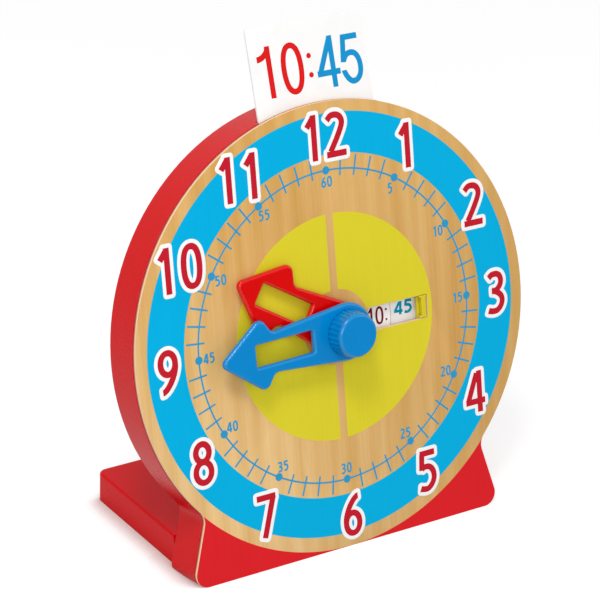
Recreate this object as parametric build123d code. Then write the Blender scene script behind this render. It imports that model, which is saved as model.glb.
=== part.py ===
"""Geared teaching clock: a round wooden dial that leans back on a slab foot.

A knob turns the minute hand. A 12:1 gear train behind the dial carries the hour hand and two
number discs, whose figures show in a window that a shutter can close. A time card stands in a
notch in the top of the case.

Two frames are used, both in millimetres.
World frame: +Z up, +X to the right of a viewer who looks along +Y at the dial, and the origin on
the floor in the middle of the footprint.
Dial frame: origin where the hands' axis meets the front of the dial, +X right, +Y up the dial,
+Z out of the dial towards the viewer. Depths behind the dial are negative Z.
"""
import os
from math import acos, atan2, cos, degrees, hypot, pi, radians, sin, sqrt, tan

from build123d import *

# Clearances
seat_gap = 0.03            # radial or side gap of a glued or pressed seat
running_gap = 0.05         # radial gap of a shaft that turns in its bearing
sliding_gap = 0.3          # gap of a part that slides by hand
face_gap = 0.6             # axial gap between layers that turn past each other
washer_gap = 0.1           # axial play at a washer or clip
cut_over = 1.0             # how far a cutter reaches past what it cuts
same_place = 0.01          # two points closer than this are one corner

# Dial board and case
dial_radius = 143.5        # round part of the dial
dial_stand = 0.5           # lowest point of the round part above the floor edge
dial_lean = 11.0           # degrees that the dial leans back
board_thickness = 3.0      # plywood of the dial
case_depth = 29.0          # red case behind the board
case_wall = 16.0           # rim of the case
case_block_height = 36.0   # solid bottom of the case, up the dial from the floor edge
shadow_gap = 1.0           # width of the dark groove between board and case
shadow_depth = 2.5         # depth of this groove, inwards
case_edge_radius = 1.2     # rounding of the rear outer edge

# Foot of the case, below the round dial
foot_rise = 45.0           # height above the floor edge where the flank leaves the round dial
foot_flank_angle = 16.0    # degrees that the flank spreads from upright
foot_root_radius = 10.0    # hollow between the flank and the round dial
foot_corner_radius = 8.5

# Back cover
cover_thickness = 3.0
cover_lap = 8.0            # ledge that the cover is screwed to
cover_screw_angles = [-10, 40, 90, 140, 190]   # degrees from +X, round the rim
cover_screw_radius = 1.25
cover_screw_length = 10.0

# Slab foot
slab_inset = 6.3           # slab within the foot, on each side
slab_reach = 135.0         # from the dial's front edge on the floor to the slab's rear edge
slab_thickness = 20.0
slab_corner_radius = 6.0
slab_edge_radius = 1.5
fixing_height = 11.0       # height of the screws and dowels where slab and case meet
slab_screw_spread = 70.0   # half distance between the two screws
slab_screw_radius = 2.0
slab_screw_length = 50.0
dowel_spread = 95.0        # half distance between the two dowels
dowel_radius = 4.0
dowel_length = 40.0

# Number window and its shutter
window_outer = 69.6        # from the hands' axis to the outer end
window_height = 15.6
window_offset = 0.3       # middle of the window above the hands' axis
shutter_thickness = 1.6
shutter_lap = 3.0          # shutter plate beyond the window, above and below
shutter_travel = 39.2      # from open to closed
shutter_lead = 2.1         # plate in front of the grip rib
grip_width = 3.4
grip_side_gap = 0.9        # between the rib and the outer end of the window
grip_toe = 1.5             # feet at both ends of the rib, beyond its inner side
grip_heel = 0.6            # the same beyond its outer side
grip_foot = 1.6            # height of these feet
grip_edge_radius = 0.4
grip_recess = 0.4          # top of the grip rib below the dial surface
shutter_end_gap = 4.0      # open shutter within the outer ends of the rails
rail_width = 5.0
rail_lip = 2.0
rail_lip_thickness = 1.4
rail_end_gap = 5.5         # rails short of the rim of the case

# Time card
card_width = 84.0
card_height = 70.0
card_thickness = 1.5
card_lean = 9.0            # degrees that the card leans back from the dial
notch_drop = 19.5          # floor of the notch below the top of the dial
card_corner_radius = 3.0
card_side_gap = 1.0

# Bush and coaxial shafts
arbor_radius = 2.0
tube_wall = 1.45
bush_wall = 1.5
bush_flange_width = 3.0
bush_flange_thickness = 1.2
nut_width = 2.6            # radial width of the bush nut
nut_thickness = 1.9
washer_thickness = 0.5
washer_width = 3.0

# Number discs
disc_thickness = 1.2
hour_disc_radius = 44.7
minute_disc_radius = 66.0
collar_radius = 10.0       # collar that carries the minute disc
spigot_radius = 6.0        # spigot through the minute disc, under the gear's root

# Gear train
pinion_teeth = 12
minute_wheel_teeth = 36
minute_module = 1.25
hour_wheel_teeth = 48
gear_width = 3.0
pressure_angle = 20.0
addendum_factor = 0.75
dedendum_factor = 1.0
backlash = 0.2
axle_distance = minute_module * (pinion_teeth + minute_wheel_teeth) / 2
hour_module = 2 * axle_distance / (pinion_teeth + hour_wheel_teeth)

# Movement plate, pillars and clips
plate_thickness = 2.0
plate_margin = 8.0         # plate beyond the middles of its pillars
plate_corner_radius = 8.0
pillar_radius = 5.0
pillar_spread = 22.0       # half distance across
pillar_rise = 80.0         # half distance up the dial
plate_screw_radius = 1.25
plate_screw_length = 12.0
screw_head_ratio = 2.2     # head radius over shank radius
screw_head_thickness = 1.6
rear_bush_wall = 2.0
rear_bush_stand = 1.2      # rear bush behind the plate
post_head_radius = 3.5
clip_thickness = 0.6
clip_width = 2.0
clip_groove = 0.4          # depth of the groove that a clip snaps into
shaft_end = 0.6            # shaft beyond its clip

# Hands and knob
hour_hand_thickness = 3.0
minute_hand_thickness = 3.0
hand_edge_radius = 2.0
hub_boss_radius = 9.5
hub_boss_height = 2.2      # boss behind the hour hand's blade
hub_front_height = 2.2     # boss in front of the hour hand's blade
knob_height = 12.3
knob_base_radius = 15.0
knob_top_radius = 13.7
knob_ribs = 28
knob_rib_radius = 1.05
knob_groove = 0.7          # depth between the ribs
knob_band = 2.6            # smooth band in front of the ribs
knob_edge_radius = 2.3
knob_floor = 3.6           # solid face of the knob in front of the arbor
minute_reading = 268.4     # degrees clockwise from 12 at rest
hour_reading = 301.5       # degrees clockwise from 12 at rest


class Hand:
    """Sizes of one pointer, measured from the axis along and across it."""

    def __init__(self, tip, tip_angle, barb_angle, neck, neck_half, hub_radius,
                 slot_start, slot_end, slot_half):
        self.tip = tip                  # sharp point before it is rounded
        self.tip_angle = tip_angle      # half angle of the arrow point
        self.barb_angle = barb_angle    # slope of the arrow's back edge
        self.neck = neck                # where the arm meets the arrow
        self.neck_half = neck_half
        self.hub_radius = hub_radius
        self.slot_start = slot_start
        self.slot_end = slot_end
        self.slot_half = slot_half


minute_hand_sizes = Hand(tip=92.3, tip_angle=37.7, barb_angle=57.5, neck=54.0, neck_half=12.9,
                         hub_radius=18.5, slot_start=25.2, slot_end=66.4, slot_half=7.1)
hour_hand_sizes = Hand(tip=86.6, tip_angle=37.6, barb_angle=56.5, neck=45.5, neck_half=12.8,
                       hub_radius=17.5, slot_start=27.8, slot_end=67.5, slot_half=6.95)
hand_corner_radius = 5.0
hand_tip_radius = 4.0
hand_slot_radius = 1.0

# Layers behind the dial, from front to back
shutter_front = -board_thickness - sliding_gap
shutter_back = shutter_front - shutter_thickness
hour_disc_front = shutter_back - face_gap
hour_disc_back = hour_disc_front - disc_thickness
minute_disc_front = hour_disc_back - face_gap
minute_disc_back = minute_disc_front - disc_thickness
post_front = minute_disc_back - sliding_gap
idler_clip_back = post_front - shaft_end / 2 - clip_thickness
front_gear_front = idler_clip_back - sliding_gap
front_gear_back = front_gear_front - gear_width
hour_wheel_front = front_gear_back - face_gap
hour_wheel_back = hour_wheel_front - gear_width
rear_gear_front = hour_wheel_back - face_gap
rear_gear_back = rear_gear_front - gear_width
plate_front = rear_gear_back - washer_thickness - 2 * washer_gap
plate_back = plate_front - plate_thickness
rear_bush_back = plate_back - rear_bush_stand
arbor_clip_front = rear_bush_back - washer_gap
arbor_clip_back = arbor_clip_front - clip_thickness
arbor_back = arbor_clip_back - shaft_end
case_back = -board_thickness - case_depth
cover_front = case_back + cover_thickness

# Layers in front of the dial
hour_washer_back = bush_flange_thickness + washer_gap
hour_boss_back = hour_washer_back + washer_thickness + washer_gap
hour_blade_back = hour_boss_back + hub_boss_height
hour_blade_front = hour_blade_back + hour_hand_thickness
hour_boss_front = hour_blade_front + hub_front_height
spacer_back = hour_boss_front + washer_gap
minute_blade_back = spacer_back + washer_thickness + washer_gap
minute_blade_front = minute_blade_back + minute_hand_thickness
knob_front = minute_blade_front + knob_height
arbor_front = knob_front - knob_floor

# Radii that follow from the arbor outwards
tube_bore = arbor_radius + running_gap
tube_radius = tube_bore + tube_wall
bush_bore = tube_radius + running_gap
bush_radius = bush_bore + bush_wall
disc_hub_bore = tube_radius + running_gap
rear_bush_radius = arbor_radius + running_gap + rear_bush_wall

# Foot and slab
dial_drop = dial_radius + dial_stand    # from the hands' axis down the dial to the floor
foot_drop = dial_drop - foot_rise
foot_flank = radians(foot_flank_angle)
foot_half_width = sqrt(dial_radius**2 - foot_drop**2) + foot_rise * tan(foot_flank)
slab_width = 2 * (foot_half_width - slab_inset)

# Case cavity, cover and notch
cavity_radius = dial_radius - case_wall
cavity_drop = dial_drop - case_block_height
cover_seat_radius = cavity_radius + cover_lap
cover_seat_drop = cavity_drop + cover_lap
cover_screw_spread = sqrt(cavity_radius**2 - cavity_drop**2) - cover_lap
card_seat = dial_radius - notch_drop
card_lean_run = tan(radians(card_lean))
card_foot = card_seat + sliding_gap + card_thickness * sin(radians(card_lean))
notch_depth = (2 * sliding_gap + (dial_radius - card_foot) * card_lean_run
               + card_thickness / cos(radians(card_lean)))
notch_half_width = card_width / 2 + card_side_gap

# Shutter and its rails
grip_outer = window_outer - grip_side_gap
grip_inner = grip_outer - grip_width
window_inner = grip_inner - shutter_lead - shutter_travel    # the shutter just closes it
rail_outer = cavity_radius - rail_end_gap
shutter_tail = rail_outer - shutter_end_gap

# World placement of the dial frame
lean = radians(dial_lean)
front_edge_y = -slab_reach / 2
dial_plane = Plane(
    origin=(0, front_edge_y + dial_drop * sin(lean), dial_drop * cos(lean)),
    x_dir=(1, 0, 0),
    z_dir=(0, -cos(lean), sin(lean)),
)
world_reach = 4 * dial_drop    # longer than the object in any direction


def on_dial(shape):
    """Move a shape from the dial frame to the world frame."""
    return dial_plane.location * shape


def layer(sketch, back, front):
    """Extrude a dial-frame outline between two depths."""
    return extrude(Pos(0, 0, back) * sketch, amount=front - back)


def rod(radius, back, front, x=0.0, y=0.0):
    """Round bar along the dial's normal between two depths."""
    return layer(Pos(x, y) * Circle(radius), back, front)


def box_between(x0, x1, y0, y1, z0, z1):
    """Block between two corners."""
    middle = Pos((x0 + x1) / 2, (y0 + y1) / 2, (z0 + z1) / 2)
    return middle * Box(x1 - x0, y1 - y0, z1 - z0)


def above_floor(solid):
    """Cut away what would reach below the floor."""
    return solid - box_between(-world_reach, world_reach, -world_reach, world_reach,
                               -world_reach, 0)


def depth_height(height, depth):
    """Dial-frame Y of a point at this height above the floor and this depth."""
    return -dial_drop + (height - depth * sin(lean)) / cos(lean)


# Case, board and covers

def case_outline(inset=0.0):
    """Round dial with a spreading foot below it, drawn in by inset all round."""
    round_radius = dial_radius - inset
    bottom = dial_drop - inset
    top = dial_radius / 2
    half_width = foot_half_width - inset / cos(foot_flank)
    half_bottom = half_width - (dial_drop - bottom) * tan(foot_flank)
    half_top = half_width - (dial_drop - top) * tan(foot_flank)
    foot = make_face(Polyline((-half_bottom, -bottom), (half_bottom, -bottom),
                              (half_top, -top), (-half_top, -top), close=True))
    outline = Circle(round_radius) + foot
    corners = outline.vertices().filter_by(lambda v: abs(v.Y + bottom) < same_place)
    outline = fillet(corners, foot_corner_radius - inset)
    roots = outline.vertices().filter_by(
        lambda v: v.Y < -top and abs(hypot(v.X, v.Y) - round_radius) < same_place)
    return fillet(roots, foot_root_radius + inset)


def round_with_flat(radius, drop):
    """Disc whose lowest part is cut off level."""
    return Circle(radius) - Pos(0, -drop - radius) * Rectangle(4 * radius, 2 * radius)


def window_block(extra, back, front):
    """Block through the number window, larger by extra on every side."""
    half = window_height / 2 + extra
    return box_between(window_inner - extra, window_outer + extra,
                       window_offset - half, window_offset + half, back, front)


def front_board():
    """Plywood dial with the bush hole and the number window."""
    board = layer(case_outline(), -board_thickness, 0)
    board -= rod(bush_radius + seat_gap, -2 * board_thickness, board_thickness)
    board -= window_block(0, -2 * board_thickness, board_thickness)
    return above_floor(on_dial(board))


def slab_fixing_y():
    """Dial-frame Y of the screws and dowels that hold the slab."""
    return depth_height(fixing_height, case_back)


def case_body():
    """Deep red rim with a solid bottom, a cavity and a notch for the card."""
    shoulder = -board_thickness - shadow_gap
    body = layer(case_outline(), case_back, shoulder)
    body = fillet(body.faces().sort_by(Axis.Z)[0].edges(), case_edge_radius)
    body += layer(case_outline(shadow_depth), shoulder, -board_thickness)
    body -= layer(round_with_flat(cavity_radius, cavity_drop), cover_front, 0)
    body -= layer(round_with_flat(cover_seat_radius, cover_seat_drop),
                  case_back - cut_over, cover_front)
    body -= box_between(-notch_half_width, notch_half_width, card_seat, 2 * dial_radius,
                        -board_thickness - notch_depth, 0)
    for x, y in cover_screw_places():
        body -= rod(cover_screw_radius + seat_gap, case_back, case_back + cover_screw_length,
                    x, y)
    y = slab_fixing_y()
    for side in (-1, 1):
        body -= screw_hole(side * slab_screw_spread, y)
        body -= rod(dowel_radius + seat_gap, case_back - cut_over, case_back + dowel_length / 2,
                    side * dowel_spread, y)
    return above_floor(on_dial(body))


def cover_screw_places():
    """Dial-frame places of the screws round the back cover."""
    ring = cavity_radius + cover_lap / 2
    places = [(ring * cos(radians(a)), ring * sin(radians(a))) for a in cover_screw_angles]
    flat = -cavity_drop - cover_lap / 2
    return places + [(-cover_screw_spread, flat), (cover_screw_spread, flat)]


def pan_screw(radius, length, seat, x, y):
    """Screw whose round head sits on a rear face and whose shank runs forward."""
    head = rod(radius * screw_head_ratio, seat - screw_head_thickness, seat, x, y)
    return head + rod(radius, seat, seat + length, x, y)


def back_cover():
    """Thin board that closes the case from behind."""
    cover = layer(round_with_flat(cover_seat_radius - sliding_gap,
                                  cover_seat_drop - sliding_gap), case_back, cover_front)
    for x, y in cover_screw_places():
        cover -= rod(cover_screw_radius + seat_gap, case_back - cut_over,
                     cover_front + cut_over, x, y)
    return on_dial(cover)


def back_cover_screws():
    """Group of pan-head screws in the back cover."""
    screws = [pan_screw(cover_screw_radius, cover_screw_length - cover_thickness, case_back,
                        x, y) for x, y in cover_screw_places()]
    return on_dial(Compound(children=screws))


# Slab foot and its fixings

def screw_head_depth():
    """Length of the countersunk head."""
    return slab_screw_radius * (screw_head_ratio - 1)


def slab_screw(x, y, gap=0.0):
    """Countersunk wood screw from the front of the case into the slab."""
    front = -board_thickness
    shank = rod(slab_screw_radius + gap, front - slab_screw_length, front, x, y)
    head_back = front - screw_head_depth()
    head = Pos(x, y, (front + head_back) / 2) * Cone(
        slab_screw_radius + gap, slab_screw_radius * screw_head_ratio + gap,
        screw_head_depth())
    return shank + head


def screw_hole(x, y):
    """Hole that clears one slab screw."""
    return slab_screw(x, y, seat_gap)


def foot_slab():
    """Red slab that lies on the floor behind the case."""
    rear = front_edge_y + slab_reach
    plan = Pos(0, (front_edge_y + rear) / 2) * Rectangle(slab_width, slab_reach)
    plan = fillet(plan.vertices().group_by(Axis.Y)[-1], slab_corner_radius)
    slab = extrude(plan, amount=slab_thickness)
    slab = fillet(slab.faces().sort_by(Axis.Z)[-1].edges(), slab_edge_radius)
    slab -= on_dial(box_between(-world_reach, world_reach, -world_reach, world_reach,
                                case_back, world_reach))
    y = slab_fixing_y()
    for side in (-1, 1):
        slab -= on_dial(screw_hole(side * slab_screw_spread, y))
        slab -= on_dial(rod(dowel_radius + seat_gap, case_back - dowel_length / 2,
                            case_back + cut_over, side * dowel_spread, y))
    return slab


def slab_screws():
    """Pair of long wood screws."""
    y = slab_fixing_y()
    return on_dial(Compound(children=[slab_screw(side * slab_screw_spread, y)
                                      for side in (-1, 1)]))


def slab_dowels():
    """Pair of beech dowels, half in the case and half in the slab."""
    y = slab_fixing_y()
    half = dowel_length / 2 - seat_gap
    return on_dial(Compound(children=[
        rod(dowel_radius, case_back - half, case_back + half, side * dowel_spread, y)
        for side in (-1, 1)]))


# Number window shutter

def shutter_half_height():
    """Half the height of the shutter plate."""
    return window_height / 2 + shutter_lap


def grip_face():
    """Outline of the grip rib, which widens into a foot at both ends."""
    half = window_height / 2 - sliding_gap
    middle = (grip_inner + grip_outer) / 2
    face = Pos(middle, 0) * Rectangle(grip_width, 2 * half)
    foot_middle = (grip_inner - grip_toe + grip_outer + grip_heel) / 2
    for side in (-1, 1):
        face += Pos(foot_middle, side * (half - grip_foot / 2)) * Rectangle(
            grip_width + grip_toe + grip_heel, grip_foot)
    return Pos(0, window_offset) * face


def window_shutter():
    """Yellow plate behind the window with a rib to push it by."""
    half = shutter_half_height()
    plate = box_between(grip_inner - shutter_lead, shutter_tail, window_offset - half,
                        window_offset + half, shutter_back, shutter_front)
    grip = layer(grip_face(), shutter_front, -grip_recess)
    grip = fillet(grip.faces().sort_by(Axis.Z)[-1].edges(), grip_edge_radius)
    return on_dial(plate + grip)


def shutter_rail(side):
    """Rail glued behind the board, above or below the shutter."""
    inner = shutter_half_height() + sliding_gap
    rail_back = shutter_back - sliding_gap / 2
    lip_start = hour_disc_radius + 2 * face_gap
    strip = box_between(window_inner, rail_outer, inner, inner + rail_width,
                        rail_back, -board_thickness)
    lip = box_between(lip_start, rail_outer, inner - rail_lip, inner + rail_width,
                      rail_back - rail_lip_thickness, rail_back)
    rail = strip + lip
    if side < 0:
        rail = mirror(rail, about=Plane.XZ)
    return on_dial(Pos(0, window_offset) * rail)


# Time card

def card_plane():
    """Plane of the card's front face, with its origin at the card's lower edge."""
    tilt = radians(card_lean)
    return Plane(origin=(0, card_foot, -board_thickness - sliding_gap), x_dir=(1, 0, 0),
                 z_dir=(0, sin(tilt), cos(tilt)))


def time_card():
    """White card with rounded upper corners."""
    face = Pos(0, card_height / 2) * Rectangle(card_width, card_height)
    face = fillet(face.vertices().group_by(Axis.Y)[-1], card_corner_radius)
    card = extrude(face, amount=-card_thickness)
    return on_dial(card_plane().location * card)


# Gears

def gear_face(teeth, module, first_tooth):
    """Involute gear outline with one tooth centred on the angle first_tooth (degrees)."""
    pitch = module * teeth / 2
    base = pitch * cos(radians(pressure_angle))
    tip = pitch + addendum_factor * module
    root = pitch - dedendum_factor * module
    half_at_pitch = pi / (2 * teeth) - backlash / (4 * pitch)
    flat_at_pitch = tan(radians(pressure_angle)) - radians(pressure_angle)

    def half_angle(radius):
        if radius <= base:
            return half_at_pitch + flat_at_pitch
        pressure = acos(base / radius)
        return half_at_pitch + flat_at_pitch - (tan(pressure) - pressure)

    def point(radius, angle):
        return radius * cos(angle), radius * sin(angle)

    flank_foot = max(base, root)
    flank_middle = (flank_foot + tip) / 2
    step = 2 * pi / teeth
    lines = []
    for tooth in range(teeth):
        middle = radians(first_tooth) + tooth * step
        edges = {side: [point(r, middle + side * half_angle(r))
                        for r in (root, flank_foot, flank_middle, tip)] for side in (-1, 1)}
        for side in (-1, 1):
            foot, start, between, end = edges[side]
            if flank_foot > root:
                lines.append(Line(foot, start))
            lines.append(ThreePointArc(start, between, end))
        lines.append(ThreePointArc(edges[-1][3], point(tip, middle), edges[1][3]))
        next_foot = point(root, middle + step - half_angle(root))
        lines.append(ThreePointArc(edges[1][0], point(root, middle + step / 2), next_foot))
    return make_face(Curve() + lines)


def minute_disc_gear():
    """Twelve-tooth gear on a collar that carries the minute disc."""
    gear = layer(gear_face(pinion_teeth, minute_module, -90), front_gear_back,
                 front_gear_front)
    gear += rod(spigot_radius, front_gear_front, minute_disc_front)
    gear += rod(collar_radius, front_gear_front + sliding_gap, minute_disc_back)
    return on_dial(gear - rod(disc_hub_bore, front_gear_back - cut_over, 0))


def minute_disc():
    """Printed disc that shows the minutes."""
    disc = rod(minute_disc_radius, minute_disc_back, minute_disc_front)
    return on_dial(disc - rod(spigot_radius + seat_gap, minute_disc_back - cut_over, 0))


def hour_disc():
    """Printed disc that shows the hours."""
    disc = rod(hour_disc_radius, hour_disc_back, hour_disc_front)
    return on_dial(disc - rod(tube_radius + seat_gap, hour_disc_back - cut_over, 0))


def hour_wheel():
    """Forty-eight-tooth wheel on the rear end of the hour tube."""
    wheel = layer(gear_face(hour_wheel_teeth, hour_module, -90 + 180 / hour_wheel_teeth),
                  hour_wheel_back, hour_wheel_front)
    return on_dial(wheel - rod(tube_radius + seat_gap, hour_wheel_back - cut_over, 0))


def minute_pinion():
    """Twelve-tooth pinion on the minute arbor."""
    pinion = layer(gear_face(pinion_teeth, minute_module, -90), rear_gear_back,
                   rear_gear_front)
    return on_dial(pinion - rod(arbor_radius + seat_gap, rear_gear_back - cut_over, 0))


def idler_gear():
    """Moulded idler: a wheel, a pinion and a second wheel in one piece."""
    wheel = gear_face(minute_wheel_teeth, minute_module, 90 + 180 / minute_wheel_teeth)
    pinion = gear_face(pinion_teeth, hour_module, 90)
    idler = layer(wheel, front_gear_back, front_gear_front)
    idler += layer(pinion, rear_gear_front, front_gear_back)
    idler += layer(wheel, rear_gear_back, rear_gear_front)
    idler -= rod(arbor_radius + running_gap, rear_gear_back - cut_over, 0)
    return on_dial(Pos(0, -axle_distance) * idler)


# Shafts, bushes, clips and the plate that carries the train

def snap_clip(back, x, y):
    """Open clip that snaps into the groove of a shaft."""
    groove = arbor_radius - clip_groove + seat_gap
    clip = rod(arbor_radius + clip_width, back, back + clip_thickness, x, y)
    clip -= rod(groove, back - cut_over, back + clip_thickness + cut_over, x, y)
    mouth = box_between(x - groove, x + groove, y, y + 3 * arbor_radius + clip_width,
                        back - cut_over, back + clip_thickness + cut_over)
    return clip - mouth


def groove_ring(back, x, y):
    """Ring of metal that a clip's groove takes out of its shaft."""
    outer = rod(2 * arbor_radius, back - washer_gap / 2, back + clip_thickness
                + washer_gap / 2, x, y)
    return outer - rod(arbor_radius - clip_groove, back - cut_over,
                       back + clip_thickness + cut_over, x, y)


def dial_bush():
    """Flanged bush through the dial that carries the hour tube."""
    back = -board_thickness - nut_thickness - washer_gap
    bush = rod(bush_radius, back, bush_flange_thickness)
    bush += rod(bush_radius + bush_flange_width, 0, bush_flange_thickness)
    return on_dial(bush - rod(bush_bore, back - cut_over, bush_flange_thickness + cut_over))


def bush_nut():
    """Thin six-sided nut that clamps the bush to the board."""
    nut = layer(RegularPolygon(bush_radius + nut_width, 6, major_radius=False),
                -board_thickness - nut_thickness, -board_thickness)
    return on_dial(nut - rod(bush_radius + seat_gap, -2 * board_thickness
                             - nut_thickness, 0))


def hour_tube():
    """Brass tube that joins the hour hand, the hour disc and the hour wheel."""
    tube = rod(tube_radius, hour_wheel_back, hour_boss_front)
    return on_dial(tube - rod(tube_bore, hour_wheel_back - cut_over,
                              hour_boss_front + cut_over))


def minute_arbor():
    """Steel arbor from the rear clip to the knob."""
    arbor = rod(arbor_radius, arbor_back, arbor_front)
    return on_dial(arbor - groove_ring(arbor_clip_back, 0, 0))


def arbor_clip():
    """Clip behind the rear bush."""
    return on_dial(snap_clip(arbor_clip_back, 0, 0))


def rear_bush():
    """Bush in the movement plate that carries the rear of the arbor."""
    bush = rod(rear_bush_radius, rear_bush_back, plate_front)
    bush += rod(rear_bush_radius + bush_flange_thickness, rear_bush_back, plate_back)
    return on_dial(bush - rod(arbor_radius + running_gap, rear_bush_back - cut_over, 0))


def idler_post():
    """Riveted steel post that the idler turns on."""
    post = rod(arbor_radius, plate_back, post_front, 0, -axle_distance)
    post += rod(post_head_radius, plate_back - bush_flange_thickness, plate_back,
                0, -axle_distance)
    return on_dial(post - groove_ring(idler_clip_back, 0, -axle_distance))


def idler_clip():
    """Clip that keeps the idler on its post."""
    return on_dial(snap_clip(idler_clip_back, 0, -axle_distance))


def ring_washer(bore, width, back):
    """Flat washer."""
    ring = rod(bore + width, back, back + washer_thickness)
    return on_dial(ring - rod(bore, back - cut_over, back + washer_thickness + cut_over))


def pillar_places():
    """Dial-frame places of the four pillars."""
    return [(x * pillar_spread, y * pillar_rise) for x in (-1, 1) for y in (-1, 1)]


def movement_plate():
    """Flat plate that closes the gear train from behind."""
    outline = RectangleRounded(2 * (pillar_spread + plate_margin),
                               2 * (pillar_rise + plate_margin), plate_corner_radius)
    plate = layer(outline, plate_back, plate_front)
    plate -= rod(rear_bush_radius + seat_gap, plate_back - cut_over, 0)
    plate -= rod(arbor_radius + seat_gap, plate_back - cut_over, 0, 0, -axle_distance)
    for x, y in pillar_places():
        plate -= rod(plate_screw_radius + seat_gap, plate_back - cut_over, 0, x, y)
    return on_dial(plate)


def plate_pillars():
    """Four pillars glued behind the board."""
    pillars = []
    for x, y in pillar_places():
        pillar = rod(pillar_radius, plate_front, -board_thickness, x, y)
        pilot = rod(plate_screw_radius + seat_gap, plate_front - cut_over,
                    plate_back + plate_screw_length + seat_gap, x, y)
        pillars.append(pillar - pilot)
    return on_dial(Compound(children=pillars))


def plate_screws():
    """Four pan-head screws that hold the movement plate on its pillars."""
    return on_dial(Compound(children=[
        pan_screw(plate_screw_radius, plate_screw_length, plate_back, x, y)
        for x, y in pillar_places()]))


# Hands and knob

def hand_face(sizes):
    """Arrow-shaped pointer along +Y with a long slot."""
    reach = hypot(sizes.neck, sizes.neck_half)
    tangent = atan2(sizes.neck_half, sizes.neck) + acos(sizes.hub_radius / reach)
    hub_x = sizes.hub_radius * cos(tangent)
    hub_y = sizes.hub_radius * sin(tangent)
    rise = tan(radians(sizes.barb_angle))
    fall = tan(radians(sizes.tip_angle))
    barb = (fall * sizes.tip + rise * sizes.neck - sizes.neck_half) / (rise + fall)
    barb_half = fall * (sizes.tip - barb)
    side = [(hub_x, hub_y), (sizes.neck, sizes.neck_half), (barb, barb_half)]
    outline = side + [(sizes.tip, 0)] + [(x, -y) for x, y in reversed(side)]
    face = make_face(Polyline(*outline, close=True))
    face = fillet(face.vertices().group_by(Axis.X)[-1], hand_tip_radius)
    corners = face.vertices().filter_by(
        lambda v: min(hypot(v.X - x, abs(v.Y) - y) for x, y in side[1:]) < same_place)
    face = fillet(corners, hand_corner_radius)
    slot_middle = (sizes.slot_start + sizes.slot_end) / 2
    slot = Pos(slot_middle, 0) * RectangleRounded(
        sizes.slot_end - sizes.slot_start, 2 * sizes.slot_half, hand_slot_radius)
    face = face + Circle(sizes.hub_radius) - slot
    return Rot(0, 0, 90) * face


def hand_blade(sizes, back, thickness, reading):
    """Pointer blade with a rounded front edge, turned to its reading."""
    blade = layer(hand_face(sizes), back, back + thickness)
    blade = fillet(blade.faces().sort_by(Axis.Z)[-1].edges(), hand_edge_radius)
    return Rot(0, 0, -reading) * blade


def hour_hand():
    """Red pointer with a boss that fits the hour tube."""
    hand = hand_blade(hour_hand_sizes, hour_blade_back, hour_hand_thickness, hour_reading)
    hand += rod(hub_boss_radius, hour_boss_back, hour_boss_front)
    return on_dial(hand - rod(tube_radius + seat_gap, 0, hour_boss_front + cut_over))


def minute_hand():
    """Blue pointer that fits the arbor."""
    hand = hand_blade(minute_hand_sizes, minute_blade_back, minute_hand_thickness,
                      minute_reading)
    return on_dial(hand - rod(arbor_radius + seat_gap, 0, minute_blade_front + cut_over))


def hand_knob():
    """Ribbed knob on the front end of the arbor."""
    middle = minute_blade_front + knob_height / 2
    body = Pos(0, 0, middle) * Cone(knob_base_radius - knob_groove,
                                    knob_top_radius - knob_groove, knob_height)
    body += rod(knob_base_radius, knob_front - knob_band, knob_front)
    slope = degrees(atan2(knob_base_radius - knob_top_radius, knob_height))
    rib_ring = (knob_base_radius + knob_top_radius) / 2 - knob_rib_radius
    ribs = [Rot(0, 0, n * 360 / knob_ribs) * Pos(rib_ring, 0, middle)
            * Rot(0, -slope, 0) * Cylinder(knob_rib_radius, 2 * knob_height)
            for n in range(knob_ribs)]
    envelope = Pos(0, 0, middle) * Cone(knob_base_radius, knob_top_radius, knob_height)
    envelope = fillet(envelope.edges().sort_by(Axis.Z)[-1], knob_edge_radius)
    knob = (body + ribs) & envelope
    return on_dial(knob - rod(arbor_radius + seat_gap, 0, arbor_front + seat_gap))


nodes = {
    "front_board": front_board(),
    "case_body": case_body(),
    "back_cover": back_cover(),
    "back_cover_screws": back_cover_screws(),
    "foot_slab": foot_slab(),
    "slab_screws": slab_screws(),
    "slab_dowels": slab_dowels(),
    "window_shutter": window_shutter(),
    "shutter_rail_upper": shutter_rail(1),
    "shutter_rail_lower": shutter_rail(-1),
    "time_card": time_card(),
    "dial_bush": dial_bush(),
    "bush_nut": bush_nut(),
    "hour_tube": hour_tube(),
    "hour_washer": ring_washer(bush_bore, washer_width, hour_washer_back),
    "hour_hand": hour_hand(),
    "hour_disc": hour_disc(),
    "hour_wheel": hour_wheel(),
    "minute_arbor": minute_arbor(),
    "hand_spacer": ring_washer(tube_bore, washer_width, spacer_back),
    "minute_hand": minute_hand(),
    "hand_knob": hand_knob(),
    "minute_pinion": minute_pinion(),
    "arbor_washer": ring_washer(tube_bore, washer_width, rear_gear_back - washer_gap
                                - washer_thickness),
    "arbor_clip": arbor_clip(),
    "rear_bush": rear_bush(),
    "minute_disc": minute_disc(),
    "minute_disc_gear": minute_disc_gear(),
    "idler_gear": idler_gear(),
    "idler_post": idler_post(),
    "idler_clip": idler_clip(),
    "movement_plate": movement_plate(),
    "plate_pillars": plate_pillars(),
    "plate_screws": plate_screws(),
}

os.makedirs("parts", exist_ok=True)
for name, solid in nodes.items():
    export_step(solid, f"parts/{name}.step")
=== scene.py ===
from math import cos, radians, sin, sqrt

import bpy
from mathutils import Matrix, Vector


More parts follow.
